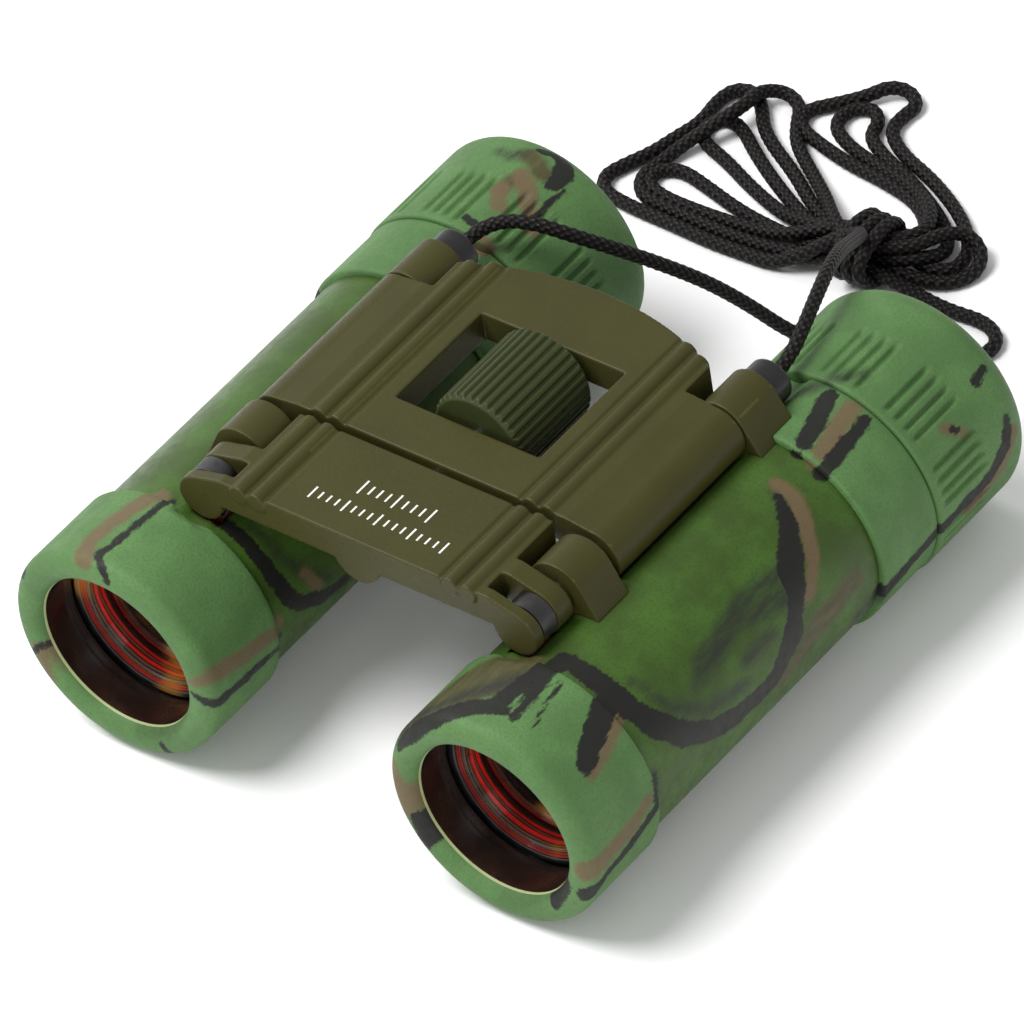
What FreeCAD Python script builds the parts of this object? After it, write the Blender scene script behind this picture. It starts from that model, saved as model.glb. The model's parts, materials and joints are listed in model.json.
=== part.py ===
import FreeCAD, Part
import math
import os
import Sketcher

# Folding pocket binoculars: two straight barrels hinged on a centre bridge.
# Millimetres. +X across the barrels, +Y from the objectives to the eyepieces, +Z up.
# Stations along a barrel count from the front rim of the hoods.

SIZES = {
    # whole object
    "overall_length": 101.5,
    "barrel_x": 32.4,
    "barrel_z": 17.35,
    # barrel outsides
    "hood_radius": 17.15,
    "hood_length": 15.6,
    "mouth_radius": 12.5,
    "body_radius": 16.05,
    "body_end": 67.1,
    "sleeve_radius": 17.0,
    "sleeve_end": 79.3,
    "eyecup_radius": 17.35,
    "eyecup_round": 4.4,
    "eye_mouth_radius": 12.0,
    "eye_flange_radius": 10.6,
    # barrel insides
    "bore_radius": 13.0,
    "spigot_radius": 14.5,
    "neck_radius": 10.6,
    "neck_bore": 9.6,
    # hinges
    "hinge_x": 26.9,
    "hinge_z": 35.95,
    "knuckle_radius": 3.6,
    "tube_radius": 4.3,
    "lug_radius": 4.8,
    "rear_lug_radius": 4.3,
    "pin_radius": 1.5,
    "pin_play": 0.05,
    "hinge_gap": 0.35,
    # bridge plates
    "plate_bottom": 35.85,
    "plate_top": 40.8,
    "plate_half": 21.6,
    "front_plate_start": 17.0,
    "front_plate_end": 33.6,
    "rear_plate_start": 34.8,
    "rear_plate_side_end": 69.0,
    "rear_arc_radius": 50.6,
    "window_half": 12.25,
    "window_start": 42.7,
    "window_end": 62.1,
    "rib_radius": 1.4,
    "rib_rise": 0.55,
    # focus drive
    "focus_z": 36.85,
    "boss_radius": 3.9,
    "wheel_radius": 7.6,
    "wheel_start": 44.2,
    "wheel_end": 60.5,
    "wheel_ridges": 34,
    "shaft_radius": 1.8,
    "nut_radius": 2.8,
    "focus_forward": 1.6,
    "focus_back": 0.8,
    # optics
    "cell_radius": 12.93,
    "objective_radius": 11.2,
    "arm_start": 19.0,
    "arm_end": 21.9,
    "eye_lens_radius": 7.6,
    # neck strap
    "cord_diameter": 2.1,
}

document = FreeCAD.newDocument("binoculars")
sheet = document.addObject("Spreadsheet::Sheet", "Sizes")
for row, (name, number) in enumerate(SIZES.items(), start=1):
    sheet.set(f"A{row}", name)
    sheet.set(f"B{row}", str(number))
    sheet.setAlias(f"B{row}", name)
document.recompute()


class Size:
    """A length with its present value and the spreadsheet expression that gives it."""

    def __init__(self, value, text):
        self.value = value
        self.text = text

    def __add__(self, other):
        other = as_size(other)
        return Size(self.value + other.value, f"({self.text} + {other.text})")

    def __sub__(self, other):
        other = as_size(other)
        return Size(self.value - other.value, f"({self.text} - {other.text})")

    def __mul__(self, factor):
        return Size(self.value * factor, f"({self.text} * {factor})")

    def __neg__(self):
        return self * -1

    __radd__ = __add__
    __rmul__ = __mul__


def as_size(number):
    if isinstance(number, Size):
        return number
    return Size(float(number), f"({number})")


def size(name):
    return Size(float(SIZES[name]), f"Sizes.{name}")


length = size("overall_length")
barrel_x = size("barrel_x")
barrel_z = size("barrel_z")
hinge_x = size("hinge_x")
hinge_z = size("hinge_z")
focus_z = size("focus_z")
gap = size("hinge_gap")
forward = size("focus_forward")
back = size("focus_back")
bore = size("bore_radius")

SIDES = {"left": 1, "right": -1}
FRONT_KNUCKLE = (size("front_plate_start"), size("arm_start") - 0.15)
SECOND_KNUCKLE = (size("arm_end") + 0.15, size("arm_end") + 3.4)
FRONT_LUG = (size("arm_end") + 4.5, size("rear_plate_start") - 1.5)
REAR_TUBE = (size("rear_plate_start") - 0.1, size("sleeve_end") - 16.0)
REAR_LUG = (REAR_TUBE[1] + 0.3, REAR_TUBE[1] + 8.3)
STRAP_CAP = (REAR_LUG[1] + 0.2, REAR_LUG[1] + 4.0)
MOUTH_DEPTH = 6.3
CELL_START = 8.5
CELL_END = 24.4


# ---- sketching ----

def hold(sketch, kind, geometry, vertex, distance):
    """Hold one coordinate of a vertex at a distance from the sketch's origin."""
    if distance.value == 0:
        axis = -2 if kind == "DistanceX" else -1
        sketch.addConstraint(Sketcher.Constraint("PointOnObject", geometry, vertex, axis))
        return
    index = sketch.addConstraint(
        Sketcher.Constraint(kind, -1, 1, geometry, vertex, distance.value))
    sketch.setExpression(f"Constraints[{index}]", distance.text)


def arc_between(start, end, radius, turn):
    """Arc from start to end; turn is 1 for counterclockwise, -1 for clockwise."""
    middle = (start + end) * 0.5
    chord = end - start
    across = FreeCAD.Vector(-chord.y, chord.x, 0).normalize()
    rise = (radius ** 2 - (chord.Length / 2) ** 2) ** 0.5
    centre = middle + across * rise * turn
    bulge = centre - across * radius * turn
    return Part.Arc(start, bulge, end)


def outline(sketch, corners):
    """Closed outline. A corner is (x, y), or (x, y, radius, turn) where an arc leaves it."""
    corners = [tuple(as_size(part) for part in corner[:3]) + corner[3:] for corner in corners]
    spots = [FreeCAD.Vector(corner[0].value, corner[1].value, 0) for corner in corners]
    first = sketch.GeometryCount
    ends = []
    for index, corner in enumerate(corners):
        start, end = spots[index], spots[(index + 1) % len(spots)]
        if len(corner) == 2:
            sketch.addGeometry(Part.LineSegment(start, end), False)
            ends.append((1, 2))
        else:
            sketch.addGeometry(arc_between(start, end, corner[2].value, corner[3]), False)
            ends.append((1, 2) if corner[3] > 0 else (2, 1))
    for index, corner in enumerate(corners):
        after = (index + 1) % len(corners)
        sketch.addConstraint(Sketcher.Constraint(
            "Coincident", first + index, ends[index][1], first + after, ends[after][0]))
        hold(sketch, "DistanceX", first + index, ends[index][0], corner[0])
        hold(sketch, "DistanceY", first + index, ends[index][0], corner[1])
        if len(corner) == 4:
            radius = sketch.addConstraint(
                Sketcher.Constraint("Radius", first + index, corner[2].value))
            sketch.setExpression(f"Constraints[{radius}]", corner[2].text)


def circle(sketch, x, y, radius):
    x, y, radius = as_size(x), as_size(y), as_size(radius)
    centre = FreeCAD.Vector(x.value, y.value, 0)
    geometry = sketch.addGeometry(
        Part.Circle(centre, FreeCAD.Vector(0, 0, 1), radius.value), False)
    hold(sketch, "DistanceX", geometry, 3, x)
    hold(sketch, "DistanceY", geometry, 3, y)
    index = sketch.addConstraint(Sketcher.Constraint("Radius", geometry, radius.value))
    sketch.setExpression(f"Constraints[{index}]", radius.text)


def new_sketch(body, name, plane, shapes):
    """Sketch on one of the body's own planes. A shape is a circle (x, y, radius) or corners."""
    sketch = body.newObject("Sketcher::SketchObject", name)
    for feature in body.Origin.OriginFeatures:
        if feature.Role == plane:
            sketch.AttachmentSupport = [(feature, "")]
    sketch.MapMode = "FlatFace"
    for shape in shapes:
        if isinstance(shape, tuple):
            circle(sketch, *shape)
        else:
            outline(sketch, shape)
    return sketch


def new_body(label, x=0, z=0):
    """Body whose origin is at the front rim, over the given x and z."""
    x, z = as_size(x), as_size(z)
    body = document.addObject("PartDesign::Body", label)
    body.Label = label
    body.setExpression(".Placement.Base.x", x.text)
    body.setExpression(".Placement.Base.y", (length * -0.5).text)
    body.setExpression(".Placement.Base.z", z.text)
    return body


def along_y(body, kind, shapes, start, end):
    """Pad or Pocket of shapes drawn in X and Z, from one station to another."""
    start, end = as_size(start), as_size(end)
    sketch = new_sketch(body, "section", "XZ_Plane", shapes)
    sketch.setExpression(".AttachmentOffset.Base.z", (-start).text)
    feature = body.newObject(f"PartDesign::{kind}", kind.lower())
    feature.Profile = sketch
    feature.setExpression("Length", (end - start).text)
    feature.Reversed = kind == "Pad"
    return feature


def along_z(body, kind, shapes, bottom, top):
    """Pad or Pocket of shapes drawn in X and Y, from one height to another."""
    bottom, top = as_size(bottom), as_size(top)
    sketch = new_sketch(body, "plan", "XY_Plane", shapes)
    sketch.setExpression(".AttachmentOffset.Base.z", bottom.text)
    feature = body.newObject(f"PartDesign::{kind}", kind.lower())
    feature.Profile = sketch
    feature.setExpression("Length", (top - bottom).text)
    feature.Reversed = kind == "Pocket"
    return feature


def turned(body, corners, kind="Revolution"):
    """Profile in (radius, station), turned about the body's Y axis."""
    sketch = new_sketch(body, "profile", "XY_Plane", [corners])
    feature = body.newObject(f"PartDesign::{kind}", kind.lower())
    feature.Profile = sketch
    feature.ReferenceAxis = (sketch, ["V_Axis"])
    feature.Angle = 360
    return feature


def ring(label, x, z, inner, outer, start, end):
    body = new_body(label, x, z)
    turned(body, [(inner, start), (outer, start), (outer, end), (inner, end)])
    return body


# ---- barrels ----

def hinge_at(side):
    """Hinge axis in a barrel body's own X and Z."""
    return (hinge_x - barrel_x) * side, hinge_z - barrel_z


def make_hood(name, x, side):
    """Hood over the front of the barrel, with a rounded rim around its mouth."""
    body = new_body(f"{name}_objective_hood", x, barrel_z)
    hood, mouth, spigot = size("hood_radius"), size("mouth_radius"), size("spigot_radius")
    rim_round, mouth_round, seat = 2.4, 2.2, 8.0
    turned(body, [
        (mouth, mouth_round, mouth_round, 1), (mouth + mouth_round, 0),
        (hood - rim_round, 0, rim_round, 1), (hood, rim_round),
        (hood, size("hood_length")), (spigot, size("hood_length")),
        (spigot, seat), (bore, seat), (bore, MOUTH_DEPTH), (mouth, MOUTH_DEPTH),
    ])
    relief = size("knuckle_radius") + gap
    along_y(body, "Pocket", [(*hinge_at(side), relief)],
            size("front_plate_start") - forward - gap, size("hood_length") + 1)
    return body


def make_barrel_body(name, x, side):
    """Metal tube with spigots for the hood and sleeve, hollowed along the hinge."""
    body = new_body(f"{name}_barrel", x, barrel_z)
    outside, spigot = size("body_radius"), size("spigot_radius")
    turned(body, [
        (bore, 9.0), (spigot, 9.0), (spigot, size("hood_length")),
        (outside, size("hood_length")), (outside, size("body_end")),
        (spigot, size("body_end")), (spigot, size("body_end") + 5), (bore, size("body_end") + 5),
    ])
    hinge = hinge_at(side)
    along_y(body, "Pocket", [(*hinge, size("knuckle_radius") + gap)],
            size("hood_length") - 1, FRONT_LUG[0])
    along_y(body, "Pocket", [(*hinge, size("tube_radius") + gap)], FRONT_LUG[1], REAR_LUG[0])
    slot_half = 2.1
    wall = size("body_radius") + 1
    along_y(body, "Pocket", [[
        (hinge[0] - slot_half, 8), (hinge[0] + slot_half, 8),
        (hinge[0] + slot_half, wall), (hinge[0] - slot_half, wall),
    ]], size("arm_start") - forward - gap, size("arm_end") + back + gap)
    return body


def make_sleeve(name, x, side):
    """Sleeve between the barrel and the eyepiece, hollowed for the strap cap."""
    body = new_body(f"{name}_sleeve", x, barrel_z)
    start, end = size("body_end"), size("sleeve_end")
    outside, spigot = size("sleeve_radius"), size("spigot_radius")
    shoulder = start + 5
    turned(body, [
        (spigot, start), (outside - 0.5, start), (outside, start + 0.5), (outside, end),
        (bore, end), (bore, shoulder), (spigot, shoulder),
    ])
    along_y(body, "Pocket", [(*hinge_at(side), 3.4 + gap)], REAR_LUG[1], end + 1)
    return body


def make_eyecup(name, x, side):
    """Rubber eyecup: grip ridges around it, a rounded rear rim and a bore to the eye lens."""
    body = new_body(f"{name}_eyecup", x, barrel_z)
    cup, mouth, seat = size("eyecup_radius"), size("eye_mouth_radius"), size("eye_flange_radius")
    corner, lip = size("eyecup_round"), 0.8
    start, end = size("sleeve_end") + 0.2, length
    web_front, web_rear, flange_rear = 92.4, 94.5, 96.4
    turned(body, [
        (size("neck_radius") + gap, start), (cup - 0.4, start), (cup, start + 0.4),
        (cup, end - corner, corner, 1), (cup - corner, end),
        (mouth + lip, end, lip, 1), (mouth, end - lip), (mouth, flange_rear),
        (seat, flange_rear), (seat, web_rear),
        (size("neck_bore") - 0.1, web_rear), (size("neck_bore") - 0.1, web_front),
        (size("neck_radius") + gap, web_front),
    ])
    return body


def make_lug(name, x, side, place, station, radius, seat_radius):
    """Hinge lug: an eye on the pin with a gusset down to the barrel's outside."""
    body = new_body(f"{name}_{place}_lug")
    eye = (hinge_x * side, hinge_z, radius)
    across = radius.value
    along_y(body, "Pad", [eye], *station)
    along_y(body, "Pad", [[
        ((hinge_x - 2.2) * side, hinge_z - across * 0.8), ((hinge_x + 8.2) * side, hinge_z - 5.6),
        ((hinge_x + across * 0.93) * side, hinge_z + across * 0.36),
        (hinge_x * side, hinge_z + across * 0.7),
    ]], *station)
    for start, end, seat in seat_radius:
        along_y(body, "Pocket", [(x, barrel_z, seat)], start, end)
    along_y(body, "Pocket", [(hinge_x * side, hinge_z, size("pin_radius") + size("pin_play"))],
            station[0] - 1, station[1] + 1)
    return body


def make_cell(name, x, side):
    """Objective cell: slides in the barrel, driven by an arm with an eye on the hinge pin."""
    body = new_body(f"{name}_objective_cell", x, barrel_z)
    outside, lens = size("cell_radius"), size("objective_radius")
    thread, lens_seat, lens_end = lens + 0.6, 10.5, 14.5
    turned(body, [
        (thread, CELL_START), (outside, CELL_START), (outside, CELL_END),
        (lens - 0.4, CELL_END), (lens - 0.4, lens_end), (lens, lens_end),
        (lens, lens_seat), (thread, lens_seat),
    ])
    hinge = hinge_at(side)
    arm = size("arm_start"), size("arm_end")
    half = 1.7
    along_y(body, "Pad", [(*hinge, size("knuckle_radius") - 0.15)], *arm)
    along_y(body, "Pad", [[
        (hinge[0] - half, 11.2), (hinge[0] + half, 11.2),
        (hinge[0] + half, hinge[1]), (hinge[0] - half, hinge[1]),
    ]], *arm)
    along_y(body, "Pocket", [(*hinge, size("pin_radius") + size("pin_play"))],
            arm[0] - 1, arm[1] + 1)
    return body


def make_lens(label, x, radius, front, edge_front, edge_rear, rear):
    """Round lens from its two pole stations and the stations of its edge."""
    body = new_body(label, x, barrel_z)
    radius = as_size(radius)

    def curve(sag):
        return (radius.value ** 2 + sag ** 2) / (2 * sag)

    corners = [(0, front, curve(abs(edge_front - front)), 1 if edge_front > front else -1),
               (radius, edge_front), (radius, edge_rear, curve(abs(rear - edge_rear)),
                                      1 if rear > edge_rear else -1), (0, rear)]
    turned(body, corners)
    return body


def make_optics(name, x, side):
    """Everything inside one barrel behind the objective cell."""
    holder = new_body(f"{name}_prism_holder", x, barrel_z)
    outside, inside, shelf = 12.95, 11.9, 7.5
    turned(holder, [
        (shelf, 30), (outside, 30), (outside, 62), (shelf, 62),
        (shelf, 61), (inside, 61), (inside, 31), (shelf, 31),
    ])
    prisms = {
        "front_prism": [(32, -8), (43, -8), (43, 8), (38, 8), (32, 2)],
        "rear_prism": [(44.5, -8), (56, -8), (60, 0), (56, 8), (44.5, 8)],
    }
    for label, corners in prisms.items():
        prism = new_body(f"{name}_{label}", x, barrel_z)
        pad = prism.newObject("PartDesign::Pad", "pad")
        pad.Profile = new_sketch(prism, "side", "YZ_Plane", [corners])
        pad.Length = 15
        pad.Midplane = True
    tube = new_body(f"{name}_eyepiece_tube", x, barrel_z)
    neck, neck_bore = size("neck_radius"), size("neck_bore")
    turned(tube, [
        (9.0, 66), (bore, 66), (bore, size("sleeve_end")), (neck, size("sleeve_end")),
        (neck, 92), (neck_bore, 92), (neck_bore, 79.5), (9.0, 79.5),
    ])
    ring(f"{name}_field_stop", x, barrel_z, 6.5, neck_bore, 79.5, 80.3)
    make_lens(f"{name}_field_lens", x, 9.0, 68.5, 70.0, 72.5, 74.0)
    cell = new_body(f"{name}_eye_lens_cell", x, barrel_z)
    lens, thread, flange = size("eye_lens_radius"), neck_bore - 0.1, size("eye_flange_radius")
    turned(cell, [
        (lens, 84), (thread, 84), (thread, 94.5), (flange, 94.5), (flange, 96.4),
        (lens + 1.4, 96.4), (lens, 95.4),
    ])
    make_lens(f"{name}_eye_lens", x, lens, 88.0, 90.0, 93.0, 95.0)


# ---- bridge ----

def knuckle(body, side, station, radius):
    """Hinge eye joined to the edge of the bridge plate."""
    top, bottom, edge = size("plate_top"), size("plate_bottom"), size("plate_half")
    along_y(body, "Pad", [(hinge_x * side, hinge_z, radius)], *station)
    along_y(body, "Pad", [[
        ((edge - 0.6) * side, bottom), ((edge - 0.6) * side, top), ((edge + 1.2) * side, top),
        ((hinge_x + 0.9) * side, hinge_z + radius * 0.97), (hinge_x * side, bottom),
    ]], *station)


def ribs_and_grooves(body, start, ends):
    """Two raised ribs on each side of a plate, with a groove beside each."""
    rib, rise, top = size("rib_radius"), size("rib_rise"), size("plate_top")
    for side in SIDES.values():
        for distance, end in zip((16.55, 19.55), ends):
            along_y(body, "Pad", [(distance * side, top + rise - rib, rib)], start, end)
        for distance in (15.0, 18.05):
            along_y(body, "Pocket", [(distance * side, top + 0.15, 0.45)], start - 1, ends[0] + 2)


def make_front_bridge():
    """Sliding front plate that carries the focus nut and pushes both objective cells."""
    body = new_body("front_bridge")
    start, end = size("front_plate_start"), size("front_plate_end")
    half = size("plate_half")
    along_z(body, "Pad", [[(-half, start), (half, start), (half, end), (-half, end)]],
            size("plate_bottom"), size("plate_top"))
    along_y(body, "Pad", [(0, focus_z, size("boss_radius"))], start, end)
    ribs_and_grooves(body, start - 0.3, (end, end))
    for side in SIDES.values():
        for station in (FRONT_KNUCKLE, SECOND_KNUCKLE):
            knuckle(body, side, station, size("knuckle_radius"))
        along_y(body, "Pocket",
                [(hinge_x * side, hinge_z, size("pin_radius") + size("pin_play"))],
                start + 0.6, SECOND_KNUCKLE[1] + 1)
    along_y(body, "Pocket", [(0, focus_z, size("nut_radius"))], start + 2, end + 1)
    return body


def make_rear_bridge():
    """Fixed rear plate with the wheel window and the two long hinge tubes."""
    body = new_body("rear_bridge")
    start, half, side_end = size("rear_plate_start"), size("plate_half"), size("rear_plate_side_end")
    window, window_start, window_end = (
        size("window_half"), size("window_start"), size("window_end"))
    along_z(body, "Pad", [[
        (-half, start), (half, start), (half, side_end, size("rear_arc_radius"), 1),
        (-half, side_end),
    ]], size("plate_bottom"), size("plate_top"))
    along_y(body, "Pad", [(0, focus_z, size("boss_radius"))], start, side_end)
    ribs_and_grooves(body, start, (side_end + 2.0, side_end + 0.8))
    for side in SIDES.values():
        knuckle(body, side, REAR_TUBE, size("tube_radius"))
        along_y(body, "Pocket", [(hinge_x * side, hinge_z, size("pin_radius"))],
                REAR_TUBE[0] - 1, REAR_TUBE[1] + 1)
    along_z(body, "Pocket", [[
        (-window, window_start), (window, window_start), (window, window_end),
        (-window, window_end),
    ]], size("plate_bottom") - 8, size("plate_top") + 5)
    along_y(body, "Pocket", [(0, focus_z, size("shaft_radius") + size("pin_play"))],
            start - 1, side_end - 2)
    return body


def make_focus_wheel():
    """Knurled wheel: V grooves along its rim and rounded ends."""
    body = new_body("focus_wheel", 0, focus_z)
    radius, start, end = size("wheel_radius"), size("wheel_start"), size("wheel_end")
    edge = 0.7
    turned(body, [
        (size("shaft_radius"), start), (radius - edge, start), (radius, start + edge),
        (radius, end - edge), (radius - edge, end), (size("shaft_radius"), end),
    ])
    groove_half, groove_depth = 0.5, 0.55
    groove = along_y(body, "Pocket", [[
        (-groove_half, radius + 0.1), (0, radius - groove_depth), (groove_half, radius + 0.1),
    ]], start - 1, end + 1)
    document.recompute()
    pattern = body.newObject("PartDesign::PolarPattern", "ridges")
    pattern.Originals = [groove]
    pattern.Axis = (body.Group[0], ["V_Axis"])
    pattern.Angle = 360
    pattern.setExpression("Occurrences", "Sizes.wheel_ridges")
    body.Tip = pattern
    return body


def make_focus_drive():
    """Shaft that turns with the wheel and the threaded nut it drives."""
    shaft = new_body("focus_shaft", 0, focus_z)
    turned(shaft, [
        (0, 21), (size("shaft_radius"), 21), (size("shaft_radius"), 66), (0, 66),
    ])
    ring("focus_nut", 0, focus_z, size("shaft_radius") + size("pin_play"), size("nut_radius"),
         24, size("front_plate_end"))


def make_hinge_hardware(name, side):
    """Hinge pin and the black cap on its rear end, which also anchors the strap."""
    pin = new_body(f"{name}_hinge_pin", hinge_x * side, hinge_z)
    pin_start, pin_end = size("front_plate_start") + 1.45, STRAP_CAP[1] - 2.4
    turned(pin, [(0, pin_start), (size("pin_radius"), pin_start),
                 (size("pin_radius"), pin_end), (0, pin_end)])
    cap = new_body(f"{name}_strap_cap", hinge_x * side, hinge_z)
    outside, cord = 3.4, size("cord_diameter") * 0.5
    turned(cap, [
        (size("pin_radius"), STRAP_CAP[0]), (outside, STRAP_CAP[0]),
        (outside, STRAP_CAP[1] - 0.8, 0.8, 1), (outside - 0.8, STRAP_CAP[1]),
        (cord, STRAP_CAP[1]), (cord, STRAP_CAP[1] - 1.4), (0, STRAP_CAP[1] - 1.4),
        (0, pin_end), (size("pin_radius"), pin_end),
    ])


# ---- neck strap ----

def cord_tube(label, points, diameter):
    """Plain tube along straight runs joined by the largest arcs that the runs allow."""
    spots = [FreeCAD.Vector(*point) for point in points]
    edges = []
    here = spots[0]
    for before, corner, after in zip(spots, spots[1:], spots[2:]):
        run_in, run_out = (before - corner), (after - corner)
        half_turn = (math.pi - run_in.getAngle(run_out)) / 2
        short = min(run_in.Length, run_out.Length)
        trim = 0.45 * short
        arc_start = corner + run_in.normalize() * trim
        arc_end = corner + run_out.normalize() * trim
        radius = trim / math.tan(half_turn)
        inward = (run_in + run_out).normalize()
        centre_distance = radius / math.cos(half_turn)
        arc_middle = corner + inward * (centre_distance - radius)
        edges.append(Part.LineSegment(here, arc_start).toShape())
        edges.append(Part.Arc(arc_start, arc_middle, arc_end).toShape())
        here = arc_end
        print(f"{label}: radius {radius:.1f} mm at {tuple(round(value, 1) for value in corner)}")
    edges.append(Part.LineSegment(here, spots[-1]).toShape())
    path = Part.Wire(edges)
    start_direction = (spots[1] - spots[0]).normalize()
    section = Part.Wire([Part.Circle(spots[0], start_direction, diameter / 2).toShape()])
    feature = document.addObject("Part::Feature", label)
    feature.Label = label
    feature.Shape = path.makePipeShell([section], True, False)
    expected = math.pi * diameter ** 2 / 4 * path.Length
    print(f"{label}: length {path.Length:.1f} mm, volume {feature.Shape.Volume:.0f} of {expected:.0f}")
    return feature


def slab(label, corners, bottom, top):
    """Plain solid with the outer shape of folded cord, in the object's own X and Y."""
    body = document.addObject("PartDesign::Body", label)
    body.Label = label
    along_z(body, "Pad", [corners], bottom, top)
    return body


CAP_REAR_Y = STRAP_CAP[1].value - length.value / 2
LEFT_LEAD = [
    (26.9, CAP_REAR_Y, 35.95), (26.9, 28.6, 36.5), (25.6, 33.8, 37.5), (23.4, 39.8, 37.6),
    (20.6, 46.6, 36.6), (16.6, 53.6, 31.8), (12.2, 60.2, 23.4), (7.6, 67.0, 14.4),
    (3.6, 72.2, 7.4), (-0.5, 75.4, 4.4),
]
RIGHT_LEAD = [
    (-26.9, CAP_REAR_Y, 35.95), (-26.5, 28.2, 36.6), (-23.8, 31.2, 37.3), (-19.8, 33.0, 37.0),
    (-15.4, 35.4, 34.8), (-11.2, 39.2, 31.2), (-7.6, 44.2, 26.0), (-4.4, 49.4, 20.0),
    (-1.6, 54.0, 13.4), (1.2, 57.8, 7.0), (5.2, 61.6, 2.4), (10.8, 65.2, 1.2),
    (17.6, 67.4, 1.2), (23.2, 70.6, 1.2), (24.6, 75.2, 1.2), (20.6, 78.2, 1.2),
    (13.6, 77.4, 1.2), (7.0, 78.2, 1.6), (3.2, 78.0, 2.4),
]


def make_strap():
    diameter = SIZES["cord_diameter"]
    cord_tube("neck_strap_left_lead", LEFT_LEAD, diameter)
    cord_tube("neck_strap_right_lead", RIGHT_LEAD, diameter)
    slab("strap_tie", [(-5, 75), (3, 75), (3, 84), (-5, 84)], 0, 6)
    slab("strap_hank_left", [
        (-5, 76), (-5, 84), (-14, 89.5), (-27, 97), (-31, 105), (-40, 103), (-43, 96),
        (-42, 86), (-46.5, 74), (-30, 71), (-9, 72.5),
    ], 0, 4.8)
    slab("strap_hank_right", [
        (3, 80.3), (11, 81.5), (14, 86), (11, 91.5), (4.5, 96), (-5, 100.5), (-12, 105),
        (-14, 113), (-19, 114.5), (-24, 111), (-29.5, 102.5), (-20, 94.5), (-12, 93), (-3, 91),
        (1, 89),
        (1.6, 86.6), (-1, 84.2), (3, 84),
    ], 0, 4.8)


# ---- assembly ----

make_front_bridge()
make_rear_bridge()
make_focus_wheel()
make_focus_drive()
for name, side in SIDES.items():
    x = barrel_x * side
    make_hinge_hardware(name, side)
    make_hood(name, x, side)
    make_barrel_body(name, x, side)
    make_sleeve(name, x, side)
    make_eyecup(name, x, side)
    make_lug(name, x, side, "front", FRONT_LUG, size("lug_radius"),
             [(FRONT_LUG[0] - 1, FRONT_LUG[1] + 1, size("body_radius"))])
    make_lug(name, x, side, "rear", REAR_LUG, size("rear_lug_radius"),
             [(REAR_LUG[0] - 1, size("body_end"), size("body_radius")),
              (size("body_end"), REAR_LUG[1] + 1, size("sleeve_radius"))])
    make_cell(name, x, side)
    objective = size("objective_radius")
    ring(f"{name}_retaining_ring", x, barrel_z, objective - 0.6, objective + 0.6, 9.0, 10.4)
    make_lens(f"{name}_objective_lens", x, objective, 10.4, 11.6, 13.4, 14.4)
    make_optics(name, x, side)
make_strap()
document.recompute()

os.makedirs("parts", exist_ok=True)
parts = [item for item in document.Objects
         if item.TypeId == "PartDesign::Body" or item.TypeId == "Part::Feature"]
for item in document.Objects:
    if "Invalid" in item.State or "Error" in item.State:
        raise RuntimeError(f"{item.Label} failed: {item.State}")
for part in parts:
    if part.Shape.isNull() or not part.Shape.isValid():
        raise RuntimeError(f"{part.Label} has no valid shape")
    part.Shape.exportStep(f"parts/{part.Label}.step")
print(f"{len(parts)} parts")
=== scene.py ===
import json
import math

import bmesh
import bpy
import numpy as np
from mathutils import Matrix, Vector


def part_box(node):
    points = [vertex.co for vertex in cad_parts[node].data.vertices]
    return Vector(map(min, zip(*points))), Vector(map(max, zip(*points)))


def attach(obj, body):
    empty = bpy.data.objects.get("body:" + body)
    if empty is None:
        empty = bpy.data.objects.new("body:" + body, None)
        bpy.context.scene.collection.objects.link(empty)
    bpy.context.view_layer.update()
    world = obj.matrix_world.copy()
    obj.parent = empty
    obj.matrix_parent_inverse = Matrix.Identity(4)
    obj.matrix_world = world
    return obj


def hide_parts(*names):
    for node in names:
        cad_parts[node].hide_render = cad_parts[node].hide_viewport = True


# Looks for the folding pocket binoculars. Metres, in the CAD model's own frame:
# +X across the barrels, +Y from the objectives to the eyepieces, +Z up.
# The left barrel is on the +X side. Angles round a barrel run from its top towards +X.

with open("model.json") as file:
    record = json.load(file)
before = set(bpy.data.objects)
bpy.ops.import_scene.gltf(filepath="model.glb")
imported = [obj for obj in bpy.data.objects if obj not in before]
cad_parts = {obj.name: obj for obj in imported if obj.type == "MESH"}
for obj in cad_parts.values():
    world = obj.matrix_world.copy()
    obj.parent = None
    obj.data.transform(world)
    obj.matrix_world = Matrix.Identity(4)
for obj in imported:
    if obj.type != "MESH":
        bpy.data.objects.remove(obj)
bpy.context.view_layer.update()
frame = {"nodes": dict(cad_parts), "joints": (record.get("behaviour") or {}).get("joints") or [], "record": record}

MM = 0.001
SIDES = {"left": 1, "right": -1}
mounts = {mount["name"]: mount for mount in frame["record"]["mounts"]}
joints = {joint["name"]: joint for joint in frame["joints"]}
AXIS_X, _, AXIS_Z = mounts["left_hood_mouth"]["pos_m"]
HINGE_X, _, HINGE_Z = joints["left_fold"]["pos_m"]
HOOD_RADIUS = mounts["left_hood_outside"]["dims"]["r_mm"] * MM
HOOD_MOUTH = mounts["left_hood_mouth"]["dims"]["r_mm"] * MM
EYECUP_MOUTH = mounts["left_eyecup_mouth"]["dims"]["r_mm"] * MM
FRONT_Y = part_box("left_objective_hood")[0][1]
BORE_RADIUS = 0.013
SPIGOT_RADIUS = 0.0145
FILLET = 0.1 * MM  # on edges that barely show


def span_y(node):
    """Where a CAD node starts and ends along the barrels."""
    low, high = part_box(node)
    return low[1], high[1]


def radius_of(node):
    """Outside radius of a CAD node that is turned about a barrel's axis."""
    low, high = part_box(node)
    return (high[0] - low[0]) / 2


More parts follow.
